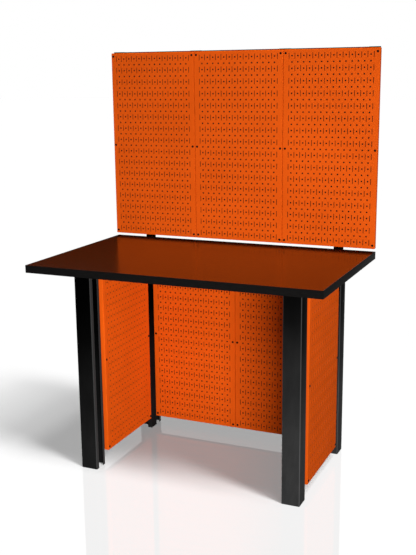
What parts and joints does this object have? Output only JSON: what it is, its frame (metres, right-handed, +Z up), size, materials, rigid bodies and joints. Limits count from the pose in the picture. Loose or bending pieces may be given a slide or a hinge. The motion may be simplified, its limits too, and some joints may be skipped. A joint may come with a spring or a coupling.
{
  "type": "pegboard workstation",
  "caption": "Workbench on channel legs with a dark worktop, perforated sheet panels closing its back and sides, and a tall board of the same panels for hanging tools behind the worktop.",
  "frame": {"origin": "on the floor, under the middle of the whole part's plan", "axes": "+X to the right of a person standing at the worktop, +Y from that person towards the board, +Z up"},
  "size_m": [1.2192, 0.8076, 1.7288],
  "materials": {
    "orange": "semi-gloss powder coat",
    "black": "semi-gloss powder coat",
    "laminate": "glossy high pressure laminate",
    "edge": "satin edge band",
    "core": "raw particle board",
    "backing": "matt dark sheet",
    "bolts": "zinc plated",
    "plugs": "matt moulded plastic"
  },
  "bodies": {
    "root": {"worktop_core": "core", "worktop_laminate": "laminate", "worktop_edge_band": "edge", "leg_front_left": "black", "leg_front_right": "black", "leg_rear_left": "black", "leg_rear_right": "black", "leg_bracket_front_left": "black", "leg_bracket_front_right": "black", "leg_bracket_rear_left": "black", "leg_bracket_rear_right": "black", "bracket_bolt_front_left": "bolts", "bracket_bolt_front_right": "bolts", "bracket_bolt_rear_left": "bolts", "bracket_bolt_rear_right": "bolts", "top_stiffener_front": "black", "top_stiffener_rear": "black", "post_left": "black", "post_right": "black", "post_cap_left": "plugs", "post_cap_right": "plugs", "post_bolt_left_lower": "bolts", "post_bolt_left_upper": "bolts", "post_bolt_right_lower": "bolts", "post_bolt_right_upper": "bolts", "board_stile_1": "black", "board_stile_2": "black", "board_stile_3": "black", "board_stile_4": "black", "stile_cap_2": "plugs", "stile_cap_3": "plugs", "board_rail_lower": "black", "board_rail_upper": "black", "board_panel_1": "orange", "board_panel_2": "orange", "board_panel_3": "orange", "board_liner_1": "backing", "board_liner_2": "backing", "board_liner_3": "backing", "back_panel_1": "orange", "back_panel_2": "orange", "back_liner_1": "backing", "back_liner_2": "backing", "back_cleat_left": "black", "back_cleat_right": "black", "back_seam_strip": "black", "back_rail_lower": "black", "back_rail_upper": "black", "side_panel_left": "orange", "side_panel_right": "orange", "side_liner_left": "backing", "side_liner_right": "backing", "side_cleat_front_left": "black", "side_cleat_front_right": "black", "side_cleat_rear_left": "black", "side_cleat_rear_right": "black", "corner_angle": "black"}
  },
  "joints": []
}
